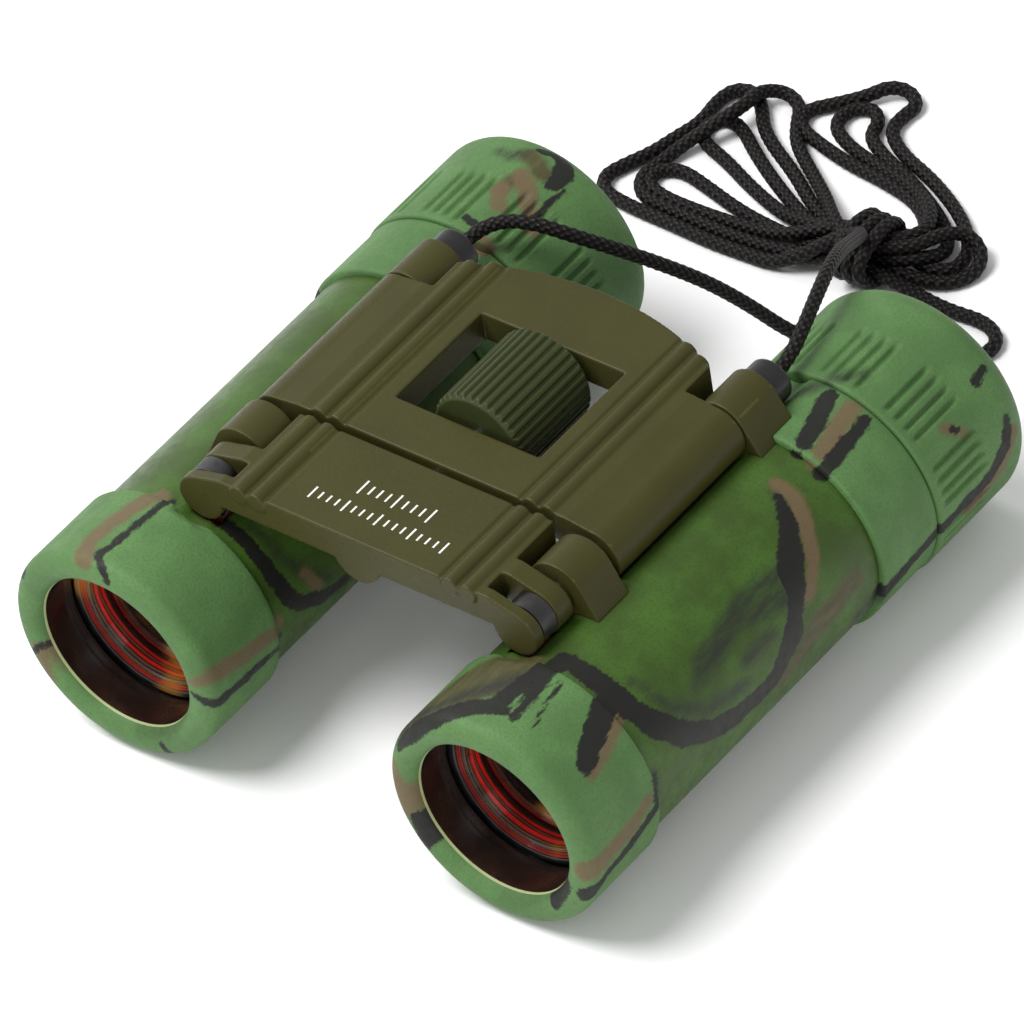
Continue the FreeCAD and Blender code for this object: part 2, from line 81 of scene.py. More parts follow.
def axis_reach(place, side):
    """Distance of a place from a barrel's axis."""
    return math.hypot(place[0] - AXIS_X * side, place[2] - AXIS_Z)


# ---- camera, floor and light ----

CAMERA_AIM = (0.0118, -0.0145, 0.0357)
CAMERA_ANGLES = (43.35, 42.10, -9.22)  # azimuth, elevation and roll in degrees
CAMERA_DISTANCE = 1.8
CAMERA_LENS = 470.18  # mm, for a sensor 36 mm wide
FLOOR_HALF = 6


def make_camera():
    aim = Vector(CAMERA_AIM)
    azimuth, elevation, roll = (math.radians(angle) for angle in CAMERA_ANGLES)
    back = Vector((math.sin(azimuth) * math.cos(elevation),
                   -math.cos(azimuth) * math.cos(elevation), math.sin(elevation)))
    right = Vector((math.cos(azimuth), math.sin(azimuth), 0))
    up = back.cross(right)
    rolled_right = right * math.cos(roll) + up * math.sin(roll)
    rolled_up = up * math.cos(roll) - right * math.sin(roll)
    camera = bpy.data.objects.new("camera", bpy.data.cameras.new("camera"))
    turn = Matrix((rolled_right, rolled_up, back)).transposed().to_4x4()
    camera.matrix_world = Matrix.Translation(aim + back * CAMERA_DISTANCE) @ turn
    camera.data.lens = CAMERA_LENS
    camera.data.sensor_width = 36
    camera.data.clip_start = 0.1
    camera.data.clip_end = 20
    bpy.context.collection.objects.link(camera)
    bpy.context.scene.camera = camera


def add_light(name, place, aim, size, power):
    """White disc light, its size in metres and its power in watts."""
    light = bpy.data.lights.new(name, "AREA")
    light.shape = "DISK"
    light.size = size
    light.energy = power
    lamp = bpy.data.objects.new(name, light)
    lamp.location = place
    lamp.rotation_euler = (Vector(aim) - Vector(place)).to_track_quat("-Z", "Y").to_euler()
    bpy.context.collection.objects.link(lamp)


def make_studio():
    """Even white surroundings, three soft lights and a paper floor."""
    world = bpy.data.worlds.new("studio")
    bpy.context.scene.world = world
    world.use_nodes = True
    sky = world.node_tree.nodes["Background"]
    sky.inputs["Color"].default_value = (1, 1, 1, 1)
    sky.inputs["Strength"].default_value = 0.5
    middle = (0, 0.01, 0.02)
    add_light("key_light", (-0.35, -0.3, 0.95), middle, 0.55, 10.5)
    add_light("left_light", (-1.0, 0.25, 0.6), middle, 0.4, 3.2)
    add_light("front_fill", (0.6, -0.95, 0.4), middle, 0.6, 3.4)
    bpy.context.scene.view_settings.view_transform = "Standard"
    mesh = bpy.data.meshes.new("floor")
    corners = [(-1, -1), (1, -1), (1, 1), (-1, 1)]
    mesh.from_pydata([(x * FLOOR_HALF, y * FLOOR_HALF, 0) for x, y in corners],
                     [], [(0, 1, 2, 3)])
    floor = bpy.data.objects.new("floor", mesh)
    bpy.context.collection.objects.link(floor)
    paint = Material("floor_paper")
    grain = paint.noise(900, 3)
    paint.set("Base Color", paint.mix(grain, (0.94, 0.94, 0.94), (0.96, 0.96, 0.96)))
    paint.set("Roughness", 0.9)
    mesh.materials.append(paint.data)


# ---- materials ----
# Noise scales are per metre. A mark's attributes are millimetres from its edge, less than
# zero inside it, so a step on one gives the share of that mark's colour.

def srgb(red, green, blue):
    """Linear colour from 0-255 display values."""
    return tuple((value / 255 / 12.92) if value <= 10 else ((value / 255 + 0.055) / 1.055) ** 2.4
                 for value in (red, green, blue))


class Material:
    """A node material put together by short calls, each giving the socket it makes."""

    def __init__(self, name):
        self.data = bpy.data.materials.new(name)
        self.data.use_nodes = True
        self.tree = self.data.node_tree
        self.shader = self.tree.nodes["Principled BSDF"]
        self.places = self.tree.nodes.new("ShaderNodeTexCoord").outputs["Object"]

    def put(self, socket, value):
        if isinstance(value, bpy.types.NodeSocket):
            self.tree.links.new(value, socket)
        elif isinstance(value, tuple) and len(value) == 3 and socket.type == "RGBA":
            socket.default_value = (*value, 1)
        else:
            socket.default_value = value

    def set(self, name, value):
        self.put(self.shader.inputs[name], value)

    def node(self, kind, **settings):
        made = self.tree.nodes.new(kind)
        for name, value in settings.items():
            setattr(made, name, value)
        return made

    def calc(self, operation, *values, clamp=False):
        made = self.node("ShaderNodeMath", operation=operation, use_clamp=clamp)
        for socket, value in zip(made.inputs, values):
            self.put(socket, value)
        return made.outputs[0]

    def mix(self, share, first, second, blend="MIX"):
        made = self.node("ShaderNodeMix", data_type="RGBA", blend_type=blend)
        self.put(made.inputs[0], share)
        self.put(made.inputs[6], first)
        self.put(made.inputs[7], second)
        return made.outputs[2]

    def noise(self, scale, detail=2.0, roughness=0.5, stretch=None):
        places = self.places
        if stretch:
            mapping = self.node("ShaderNodeMapping")
            self.put(mapping.inputs["Vector"], places)
            mapping.inputs["Scale"].default_value = stretch
            places = mapping.outputs[0]
        made = self.node("ShaderNodeTexNoise")
        self.put(made.inputs["Vector"], places)
        made.inputs["Scale"].default_value = scale
        made.inputs["Detail"].default_value = detail
        made.inputs["Roughness"].default_value = roughness
        return made.outputs["Fac"]

    def attribute(self, name):
        return self.node("ShaderNodeAttribute", attribute_name=name).outputs["Fac"]

    def step(self, value, low, high, first=0.0, last=1.0):
        """Smooth step from first at low to last at high."""
        made = self.node("ShaderNodeMapRange", interpolation_type="SMOOTHSTEP")
        for socket, given in zip(made.inputs, (value, low, high, first, last)):
            self.put(socket, given)
        return made.outputs[0]

    def bump(self, height, distance, strength=1.0):
        made = self.node("ShaderNodeBump")
        self.put(made.inputs["Height"], height)
        made.inputs["Distance"].default_value = distance
        made.inputs["Strength"].default_value = strength
        self.set("Normal", made.outputs[0])

    def worn_and_lit_edges(self, low, high):
        """1 on outer edges of a dense mesh, 0 elsewhere."""
        return self.step(self.node("ShaderNodeNewGeometry").outputs["Pointiness"], low, high)

    def axis_distance(self, x, z):
        """Distance from an axis that runs along Y."""
        offset = self.node("ShaderNodeVectorMath", operation="SUBTRACT")
        self.put(offset.inputs[0], self.places)
        offset.inputs[1].default_value = (x, 0, z)
        flat = self.node("ShaderNodeVectorMath", operation="MULTIPLY")
        self.put(flat.inputs[0], offset.outputs[0])
        flat.inputs[1].default_value = (1, 0, 1)
        length = self.node("ShaderNodeVectorMath", operation="LENGTH")
        self.put(length.inputs[0], flat.outputs[0])
        return length.outputs["Value"]


BROWN = srgb(104, 84, 64)
OLIVE_BROWN = srgb(96, 84, 56)
OLIVE = srgb(62, 58, 32)
DARK = srgb(26, 24, 24)
HAZE = srgb(40, 43, 36)


def camouflage(name, base, pale, roughness, grain):
    """Green armour with brushed dark and brown marks and airbrushed shadows."""
    paint = Material(name)
    colour = paint.mix(paint.step(paint.noise(130, 3), 0.35, 0.7), base, pale)
    speckle = paint.noise(2600, 4, 0.65)
    shade = tuple(value * 0.72 for value in base)
    colour = paint.mix(paint.step(speckle, 0.42, 0.7, 0, 0.5), colour, shade)
    slow = paint.calc("MULTIPLY_ADD", paint.noise(300, 2, 0.5), 1.0, -0.5)
    bristle = paint.calc("MULTIPLY_ADD", paint.noise(1900, 4, 0.7, stretch=(1, 0.3, 1)), 1.5, -0.75)
    edge = paint.calc("ADD", slow, bristle)
    soft = paint.calc("ADD", paint.attribute("haze"), edge)
    streaks = paint.step(paint.noise(900, 3, 0.65, stretch=(1, 0.2, 1)), 0.3, 0.62, 0.6, 1.0)
    olive = paint.calc("ADD", paint.attribute("olive"), paint.calc("MULTIPLY", slow, 2.4))
    colour = paint.mix(paint.step(olive, -1.2, 0.8, 0.92, 0), colour,
                       paint.mix(streaks, OLIVE_BROWN, OLIVE))
    haze_share = paint.calc("MULTIPLY", paint.step(soft, -1.7, 1.0, 0.9, 0), streaks)
    colour = paint.mix(haze_share, colour, HAZE)
    brown = paint.calc("ADD", paint.attribute("brown"), edge)
    tan = paint.mix(paint.step(speckle, 0.35, 0.7), BROWN, OLIVE_BROWN)
    colour = paint.mix(paint.step(brown, -0.7, 0.5, 0.9, 0), colour, tan)
    dark = paint.calc("ADD", paint.attribute("dark"), edge)
    dark_share = paint.step(dark, -0.25, 0.2, 0.97, 0)
    colour = paint.mix(dark_share, colour, DARK)
    paint.set("Base Color", colour)
    paint.set("Roughness", paint.step(paint.noise(700, 3), 0.3, 0.7, roughness - 0.05,
                                      roughness + 0.07))
    paint.set("Specular IOR Level", 0.28)
    height = paint.calc("ADD", paint.calc("MULTIPLY", paint.noise(2600, 3), grain),
                        paint.calc("MULTIPLY", paint.noise(420, 2), 0.5))
    paint.bump(height, 0.00012, 0.6)
    return paint.data


def painted_metal(name, base, worn_and_lit, roughness):
    """Satin paint on cast metal, lighter on its outer edges: partly rubbed paint, partly a painted highlight."""
    paint = Material(name)
    colour = paint.mix(paint.step(paint.noise(90, 3), 0.3, 0.7), base,
                       tuple(value * 1.12 for value in base))
    # Painted highlight with rubbed paint: the outer edges are painted lighter, for both the rubbed paint and the
    # light that the edges catch.
    edge_wear_and_highlight = paint.calc("MULTIPLY", paint.worn_and_lit_edges(0.53, 0.60), paint.noise(600, 4, 0.7))
    colour = paint.mix(paint.calc("MULTIPLY", edge_wear_and_highlight, 0.35, clamp=True), colour, worn_and_lit)
    paint.set("Base Color", colour)
    paint.set("Roughness", paint.step(paint.noise(1400, 3), 0.3, 0.7, roughness - 0.05,
                                      roughness + 0.06))
    paint.set("Specular IOR Level", 0.22)
    paint.bump(paint.noise(3600, 2), 0.00005, 0.5)
    return paint.data


def plastic(name, base, roughness, lighter=1.5):
    """Moulded plastic or anodised metal with a fine grain."""
    paint = Material(name)
    paint.set("Base Color", paint.mix(paint.noise(500, 3), base,
                                      tuple(value * lighter for value in base)))
    paint.set("Roughness", paint.step(paint.noise(1100, 2), 0.3, 0.7, roughness - 0.05,
                                      roughness + 0.07))
    paint.bump(paint.noise(3000, 2), 0.00003, 0.4)
    return paint.data


def bare_metal(name, base, roughness):
    """Turned metal with fine rings of tool marks."""
    paint = Material(name)
    marks = paint.noise(300, 2, 0.6, stretch=(1, 18, 1))
    paint.set("Base Color", paint.mix(marks, base, tuple(value * 0.75 for value in base)))
    paint.set("Metallic", 1.0)
    paint.set("Roughness", paint.step(marks, 0.3, 0.7, roughness - 0.06, roughness + 0.08))
    paint.bump(marks, 0.00002, 0.5)
    return paint.data


def clear_glass(name):
    """Faintly green optical glass."""
    paint = Material(name)
    paint.set("Base Color", paint.mix(paint.noise(200, 2), (0.78, 0.86, 0.82), (0.85, 0.9, 0.9)))
    paint.set("Transmission Weight", 1.0)
    paint.set("Roughness", 0.02)
    paint.set("IOR", 1.5)
    return paint.data


def hood_lining(name):
    """Glossy dark brown paint inside a hood's mouth."""
    paint = Material(name)
    smear = paint.noise(260, 3, 0.6)
    paint.set("Base Color", paint.mix(paint.step(smear, 0.3, 0.75), srgb(30, 20, 17),
                                      srgb(46, 29, 22)))
    paint.set("Roughness", paint.step(smear, 0.3, 0.7, 0.2, 0.28))
    paint.bump(paint.noise(500, 3), 0.00004, 0.4)
    return paint.data


# Painted reflections: apart from the black cell face and the coating's red, these bands are the rings mirrored in
# the coated glass, with a silver painted highlight on the cell face and gold lines.
LENS_BANDS_AND_REFLECTIONS = [
    # (the band's outer radius in mm, its colour)
    (12.8, srgb(16, 14, 14)), (12.45, srgb(96, 94, 92)), (12.2, srgb(18, 16, 16)),
    (11.95, srgb(170, 26, 16)), (11.78, srgb(22, 14, 12)), (11.62, srgb(190, 60, 26)),
    (11.46, srgb(26, 18, 16)), (11.14, srgb(160, 112, 60)), (11.06, srgb(74, 62, 58)),
    (10.85, srgb(108, 94, 88)), (10.62, srgb(58, 46, 44)), (10.48, srgb(150, 96, 50)),
    (10.4, srgb(30, 14, 12)), (10.3, srgb(250, 26, 14)), (9.66, srgb(120, 10, 8)),
    (9.56, srgb(40, 8, 8)), (9.45, srgb(14, 8, 8)), (8.5, srgb(58, 14, 10)),
    (8.2, srgb(18, 10, 10)), (6.8, srgb(50, 26, 16)), (5.2, srgb(22, 12, 10)),
]
BAND_BLEND = 0.04  # mm, half of the blend between two bands
BAND_SHIFT = -0.35  # how far the bands move inwards with depth beyond the rings' front
RING_DEPTH = 9.0 * MM


def coating_with_painted_reflections(name, x, roughness, coat=0.6):
    """Ruby coating and its rings: fine coloured bands that step inwards along the bore, most of them painted
    reflections of the rings in the coated glass, under painted orange glint spots.
    """
    paint = Material(name)
    split = paint.node("ShaderNodeSeparateXYZ")
    paint.put(split.inputs[0], paint.places)
    depth = paint.calc("SUBTRACT", split.outputs["Y"], FRONT_Y + RING_DEPTH)
    reach = paint.calc("MULTIPLY_ADD", depth, BAND_SHIFT, paint.axis_distance(x, AXIS_Z))
    wander = paint.calc("MULTIPLY_ADD", paint.noise(90, 2), 0.0002, -0.0001)
    reach = paint.calc("ADD", reach, wander)
    colour = LENS_BANDS_AND_REFLECTIONS[0][1]
    for radius, band in LENS_BANDS_AND_REFLECTIONS[1:]:
        share = paint.step(reach, (radius - BAND_BLEND) * MM, (radius + BAND_BLEND) * MM, 1, 0)
        colour = paint.mix(share, colour, band)
    shade = paint.step(paint.noise(110, 3, 0.6), 0.35, 0.55, 0.6, 1.0)
    dimmed = paint.mix(1.0, colour, paint.mix(shade, (0, 0, 0), (1, 1, 1)), "MULTIPLY")
    # Painted glint: orange-gold spots screened over the bands, standing in for light reflected in the glass.
    painted_glints = paint.calc("MULTIPLY", paint.step(paint.noise(75, 2), 0.56, 0.72, 0, 0.75), 0.5)
    glint_colour = paint.mix(1.0, dimmed, srgb(255, 170, 60), "SCREEN")
    paint.set("Base Color", paint.mix(painted_glints, dimmed, glint_colour))
    paint.set("Roughness", paint.step(paint.noise(400, 2), 0.3, 0.7, roughness, roughness * 2))
    paint.set("Specular IOR Level", 0.8)
    paint.set("Coat Weight", coat)
    paint.set("Coat Roughness", 0.03)
    return paint.data


def braided_cord(name):
    """Black woven cord: staggered strands, painted darker between them as painted shade, with painted highlight
    specks on their tops.
    """
    paint = Material(name)
    angle = paint.calc("ARCTAN2", paint.attribute("braid_sin"), paint.attribute("braid_cos"))
    turn = paint.calc("MULTIPLY", paint.attribute("braid_along"), 2 * math.pi)
    around = paint.calc("COSINE", paint.calc("MULTIPLY", angle, BRAID_ROWS))
    lattice = paint.calc("MULTIPLY", around, paint.calc("COSINE", turn))
    weave = paint.calc("MULTIPLY_ADD", lattice, 0.5, 0.5)
    fibres = paint.noise(5200, 3, 0.7)
    # Painted shade: the gaps between strands are painted darker than their tops.
    colour = paint.mix(paint.step(weave, 0.3, 0.9), srgb(2, 1, 1), srgb(24, 19, 18))
    # Painted highlight: pale specks on the strands' tops.
    highlight_flecks = paint.calc("MULTIPLY", paint.step(weave, 0.7, 1.0), paint.step(fibres, 0.4, 0.7))
    colour = paint.mix(highlight_flecks, colour, srgb(92, 80, 74))
    paint.set("Base Color", colour)
    paint.set("Roughness", paint.step(fibres, 0.3, 0.7, 0.5, 0.7))
    paint.set("Specular IOR Level", 0.2)
    height = paint.calc("MULTIPLY_ADD", fibres, 0.3, weave)
    paint.bump(height, 0.00018, 0.8)
    return paint.data


# ---- mesh helpers ----

def new_piece(name, points, faces, body, materials):
    """Smooth mesh piece that rides a body, with its materials."""
    mesh = bpy.data.meshes.new(name)
    mesh.from_pydata([tuple(point) for point in points], [], faces)
    mesh.update()
    for material in materials:
        mesh.materials.append(material)
    mesh.polygons.foreach_set("use_smooth", [True] * len(mesh.polygons))
    piece = bpy.data.objects.new(name, mesh)
    bpy.context.collection.objects.link(piece)
    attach(piece, body)
    return piece


def coordinates(mesh):
    places = np.empty(len(mesh.vertices) * 3)
    mesh.vertices.foreach_get("co", places)
    return places.reshape(-1, 3)


def store(mesh, name, values):
    """Keeps one number per vertex, for a material to read."""
    attribute = mesh.attributes.new(name, "FLOAT", "POINT")
    attribute.data.foreach_set("value", np.asarray(values, dtype=np.float32))


def rounded_section(corners, step):
    """Closed section from (radius, y, fillet) corners, with arcs and evenly divided runs."""
    corners = [(Vector((radius, y)), fillet) for radius, y, fillet in corners]
    stops = []
    for (before, _), (corner, fillet), (after, _) in zip(
            corners[-1:] + corners[:-1], corners, corners[1:] + corners[:1]):
        run_in = (before - corner).normalized()
        run_out = (after - corner).normalized()
        half = run_in.angle(run_out) / 2
        trim = fillet / math.tan(half)
        centre = corner + (run_in + run_out).normalized() * (fillet / math.sin(half))
        start, end = corner + run_in * trim, corner + run_out * trim
        sweep = math.pi - 2 * half
        steps = max(2, round(fillet * sweep / step * 2))
        turn = (start - centre).angle_signed(end - centre)
        for index in range(steps + 1):
            spoke = (start - centre).copy()
            spoke.rotate(Matrix.Rotation(-turn * index / steps, 2))
            stops.append(centre + spoke)
    section = []
    for stop, following in zip(stops, stops[1:] + stops[:1]):
        pieces = max(1, math.ceil((following - stop).length / step))
        section += [stop.lerp(following, index / pieces) for index in range(pieces)]
    return section


def turned(name, side, corners, body, materials, around=168, step=0.0008, reshape=None):
    """Closed ring turned about a barrel's axis; reshape may change the radius by angle and y."""
    section = rounded_section(corners, step)
    radius = np.array([point[0] for point in section])[:, None]
    y = np.array([point[1] for point in section])[:, None]
    angle = np.linspace(0, 2 * math.pi, around, endpoint=False)[None, :]
    radius, y, angle = np.broadcast_arrays(radius, y, angle)
    if reshape:
        radius = reshape(angle, y, radius)
    points = np.stack([AXIS_X * side + radius * np.sin(angle), y,
                       AXIS_Z + radius * np.cos(angle)], axis=-1).reshape(-1, 3)
    rows = len(section)
    faces = []
    for row in range(rows):
        below, above = row * around, (row + 1) % rows * around
        for column in range(around):
            beside = (column + 1) % around
            faces.append((below + column, below + beside, above + beside, above + column))
    piece = new_piece(name, points, faces, body, materials)
    mend = bmesh.new()
    mend.from_mesh(piece.data)
    bmesh.ops.recalc_face_normals(mend, faces=mend.faces)
    mend.to_mesh(piece.data)
    mend.free()
    return piece


def cut_box(piece, low, high):
    """Cuts the box between two corners out of a piece."""
    mesh = bpy.data.meshes.new("cutter")
    corners = [(x, y, z) for x in (low[0], high[0]) for y in (low[1], high[1])
               for z in (low[2], high[2])]
    mesh.from_pydata(corners, [], [(0, 1, 3, 2), (4, 6, 7, 5), (0, 4, 5, 1), (2, 3, 7, 6),
                                   (0, 2, 6, 4), (1, 5, 7, 3)])
    cutter = bpy.data.objects.new("cutter", mesh)
    bpy.context.collection.objects.link(cutter)
    cut = piece.modifiers.new("cut", "BOOLEAN")
    cut.object = cutter
    cut.solver = "EXACT"
    depsgraph = bpy.context.evaluated_depsgraph_get()
    shape = bpy.data.meshes.new_from_object(piece.evaluated_get(depsgraph))
    piece.modifiers.clear()
    piece.data = shape
    bpy.data.objects.remove(cutter)
    bpy.data.meshes.remove(mesh)


def cleared_hinge(side, zones):
    """Reshape that hollows a barrel's outside along the hinge, between zones' ends, by radius."""
    across, above = (HINGE_X - AXIS_X) * side, HINGE_Z - AXIS_Z

    def reshape(angle, y, radius):
        along = across * np.sin(angle) + above * np.cos(angle)
        aside = across ** 2 + above ** 2 - along ** 2
        for start, end, clear in zones:
            reach = np.sqrt(np.maximum(clear ** 2 - aside, 0))
            inside = (aside < clear ** 2) & (along > 0) & (y > start) & (y < end)
            radius = np.where(inside, np.minimum(radius, along - reach), radius)
        return radius

    return reshape


# ---- camouflage marks ----

# Each mark is a brush stroke of (angle in degrees, y in mm, half width in mm) points along
# its middle. Those on the underside and the far sides are free choices.
MARKS = {
    "left": {
        "dark": [
            [(-62, -51.6, 1.0), (-44, -51.4, 1.7), (-28, -50.2, 1.8), (-16, -47.6, 1.9),
             (-4, -45.6, 1.6), (4, -45.2, 0.8)],
            [(-2, -44.5, 1.5), (0, -40.5, 1.4), (4, -35.2, 1.7)],
            [(10, -45.8, 0.5), (8, -41, 0.9), (5, -36, 1.2)],
            [(20, -45.4, 0.12), (16, -40.9, 0.3), (14, -36.5, 0.25)],
            [(47, -43.6, 1.5), (41, -39, 1.8), (34, -34.4, 1.8)],
            [(77, -34.9, 0.6), (92, -35.8, 0.8), (99, -41.6, 0.8), (103, -47.3, 0.9),
             (111, -51, 1.8)],
            [(-112, -54.5, 1.6), (-124, -54, 1.9), (-128, -50.5, 1.4)],
            [(136, -54.1, 0.9), (112, -54.6, 1.0)],
            [(5, -33.4, 1.5), (27, -33.4, 1.7), (46, -32.9, 1.8), (60, -31.2, 1.9),
             (75, -27.6, 1.9), (86, -22.6, 1.8), (92, -17.9, 1.8), (94, -13, 1.7),
             (92, -8.8, 1.8), (84, -5.2, 2.0), (74, -1.6, 2.3), (60, 1.6, 2.6), (48, 4.8, 2.2),
             (36, 7.8, 1.4), (24, 10, 0.8)],
            [(7, 27.4, 1.3), (11, 22.7, 1.5), (15, 18.2, 1.4)],
            [(28, 27.0, 1.0), (29, 22.6, 1.1), (31, 17.2, 1.2)],
            [(49, 46.4, 0.7), (51, 44.3, 0.9)],
            [(59, 36.4, 0.6), (62, 37.3, 0.4)],
            [(76, 45.8, 0.8), (88, 44.1, 1.3), (96, 40.4, 1.3), (98, 31, 1.0), (105, 17, 1.4)],
            [(150, -40, 1.6), (172, -47, 1.0)],
            [(160, -28, 1.6), (185, -20, 2.4), (200, -6, 1.2)],
            [(165, 8, 1.4), (190, 20, 2.2), (220, 30, 1.0)],
            [(-75, -30, 1.4), (-95, -22, 2.2), (-110, -8, 1.2)],
            [(-70, 6, 1.0), (-88, 16, 2.0), (-100, 30, 1.4), (-120, 44, 1.6)],
        ],
        "brown": [
            [(53, -43.8, 0.9), (49, -39, 1.1), (42, -34.4, 1.2)],
            [(84, -36.8, 0.8), (89, -41, 1.5), (91, -46, 1.7), (94, -51.6, 2.2)],
            [(-78, -51.4, 1.6), (-92, -52.5, 2.6), (-104, -52.4, 2.2)],
            [(-66, -55.5, 1.0), (-90, -56, 1.2)],
            [(18, 11.6, 1.2), (30, 11.6, 1.5), (44, 9.4, 1.4), (58, 7.0, 1.3), (70, 3.6, 1.2)],
            [(19, 27.2, 1.5), (22, 22.9, 1.6), (24, 18.4, 1.5)],
            [(56, 35.2, 0.9), (66, 38.4, 0.7)],
            [(84, 46.4, 1.2), (98, 43, 1.4), (104, 36, 1.6)],
            [(150, -32, 2.0), (180, -26, 1.6)],
            [(205, 8, 2.2), (230, 22, 1.6)],
            [(-80, -18, 1.4), (-98, -4, 2.0)],
            [(-110, 24, 2.2), (-90, 40, 1.4)],
        ],
        "olive": [
            [(-50, -49, 2.6), (-36, -45.3, 3.6), (-24, -40.1, 4.0), (-8, -36.6, 2.8)],
            [(-20, -45.6, 2.4), (-8, -40, 2.6)],
            [(98, -6.6, 1.6), (91, 0, 2.2), (86, 6, 2.4), (84, 12, 2.2)],
        ],
        "haze": [
            [(36, -29.8, 0.8), (58, -27.8, 1.3), (74, -22.6, 1.4), (80, -14, 1.2)],
            [(60, -22.4, 1.4), (56, -19, 2.2), (52, -13.8, 2.4), (49, -9.4, 2.2),
             (49, -3, 2.0), (49, 2.6, 1.2)],
            [(70, -13, 1.4), (70, -7, 1.4)],
            [(50, -12, 1.6), (58, -5, 2.4), (62, -1, 2.2)],
            [(20, 11, 1.0), (40, 8.2, 1.4)],
            [(-60, -49.4, 1.6), (-34, -47.6, 1.8), (-16, -43.6, 1.8), (-2, -39, 1.6)],
            [(113, 13, 2.4), (104, 20, 1.4)],
            [(178, -55.2, 1.0), (150, -55.4, 1.3), (122, -55.6, 1.0)],
            [(-6, 26, 1.4), (12, 33, 0.8)],
            [(180, 0, 2.4), (210, 14, 1.6)],
            [(-85, -26, 2.4), (-104, -12, 1.4)],
        ],
    },
    "right": {
        "dark": [
            [(2, -35.3, 0.7), (1, -38.6, 0.6), (0, -42.4, 0.7), (-1, -46, 0.6),
             (-3, -48.6, 0.7), (3, -50.4, 0.7), (8, -52.4, 0.7)],
            [(89, -53.4, 0.5), (92, -51.4, 0.8), (96, -48.5, 0.9), (97, -41.9, 0.8),
             (98, -34.6, 0.6)],
            [(-107, -50.6, 0.5), (-112, -52, 0.5), (-104, -55, 0.5), (-99, -57.1, 0.4)],
            [(153, -50.3, 0.8), (152, -53.2, 0.6)],
            [(173, -56, 0.7), (151, -55, 0.5)],
            [(23, -33.6, 1.0), (42, -33.2, 1.1), (64, -33.0, 1.3), (80, -31.8, 1.4),
             (90, -30, 1.4), (100, -25.2, 1.3), (104, -20, 1.2)],
            [(7, 47.9, 0.8), (13, 48.9, 1.2), (19, 48.3, 1.5), (23, 46.2, 1.7),
             (24, 44.2, 1.4), (22, 43.1, 0.8)],
            [(28, 37.6, 0.8), (28, 41, 0.6), (29, 44.3, 0.5)],
            [(4, 31.2, 0.7), (12, 30.9, 0.8)],
            [(-60, -50, 1.2), (-80, -42, 1.8), (-90, -36, 0.8)],
            [(-70, -24, 1.4), (-90, -12, 2.2), (-100, 2, 1.2)],
            [(-60, 14, 1.2), (-82, 24, 2.0), (-96, 38, 1.4)],
            [(170, -44, 1.4), (190, -38, 1.8)],
            [(140, -16, 1.4), (165, -6, 2.4), (180, 8, 1.4)],
            [(120, 24, 1.2), (145, 34, 2.0), (150, 46, 1.2)],
            [(96, 8, 1.2), (110, 16, 1.8)],
        ],
        "brown": [
            [(-5, -35.4, 1.6), (-8, -37.4, 1.6), (-12, -42.2, 1.5), (-13, -46.4, 1.5),
             (-8, -50.4, 1.7)],
            [(80, -52.8, 0.8), (79, -49.6, 1.4), (82, -45, 1.5), (85, -41, 1.4),
             (88, -35.2, 1.3)],
            [(-108, -53.6, 1.2), (-128, -52.8, 1.0)],
            [(9, 42.2, 1.3), (14, 41.2, 1.6), (21, 39.2, 1.5), (29, 37.0, 1.4), (33, 35.6, 1.0)],
            [(6, 38.6, 1.3), (12, 35.6, 1.4)],
            [(16, 30.0, 0.8), (24, 29.2, 0.9)],
            [(76, -28, 1.0), (90, -26, 1.0)],
            [(-74, -44, 2.0), (-96, -38, 1.4)],
            [(-80, 4, 2.2), (-96, 16, 1.4)],
            [(160, -28, 1.8), (180, -20, 1.4)],
            [(128, 12, 1.6), (150, 22, 2.0)],
        ],
        "olive": [
            [(4, 46.1, 1.4), (12, 45.3, 1.8), (17, 44.4, 1.5)],
            [(9, 42.2, 1.0), (6, 38.6, 1.2)],
        ],
        "haze": [
            [(40, -30.8, 0.9), (60, -30, 1.2), (78, -27.6, 1.6), (92, -23.5, 1.3)],
            [(-10, 44.7, 0.9), (-3, 44.6, 1.3), (-1, 45.6, 0.9)],
            [(170, -55.2, 1.1), (145, -55, 1.2), (125, -55, 0.8)],
            [(96, -6, 2.0), (104, 8, 1.6)],
            [(-84, -18, 2.4), (-98, -2, 1.4)],
            [(160, 0, 2.4), (140, 18, 1.4)],
        ],
    },
}
FAR = 50.0


def mark_distance(around, along, strokes, girth):
    """Millimetres from points on an unrolled barrel to the nearest edge of some strokes."""
    nearest = np.full(len(around), FAR)
    for stroke in strokes:
        for (angle, start, thin), (next_angle, end, thick) in zip(stroke, stroke[1:]):
            place = math.radians(angle) / (2 * math.pi) * girth
            run = (next_angle - angle) / 360 * girth
            rise = end - start
            aside = (around - place + girth / 2) % girth - girth / 2
            ahead = along - start
            share = np.clip((aside * run + ahead * rise) / (run ** 2 + rise ** 2), 0, 1)
            gap = np.hypot(aside - share * run, ahead - share * rise)
            nearest = np.minimum(nearest, gap - (thin + share * (thick - thin)))
    return nearest


def mark(piece, side_name):
    """Stores how far each point of an outer piece is from each kind of mark."""
    places = coordinates(piece.data) / MM
    across = places[:, 0] - AXIS_X * SIDES[side_name] / MM
    above = places[:, 2] - AXIS_Z / MM
    radius = np.hypot(across, above)
    girth = 2 * math.pi * HOOD_RADIUS / MM
    around = np.arctan2(across, above) / (2 * math.pi) * girth
    inset = np.maximum(HOOD_RADIUS / MM - radius, 0)
    along = places[:, 1] + inset * np.sign(places[:, 1])
    for kind, strokes in MARKS[side_name].items():
        store(piece.data, kind, mark_distance(around, along, strokes, girth))


# ---- barrels ----

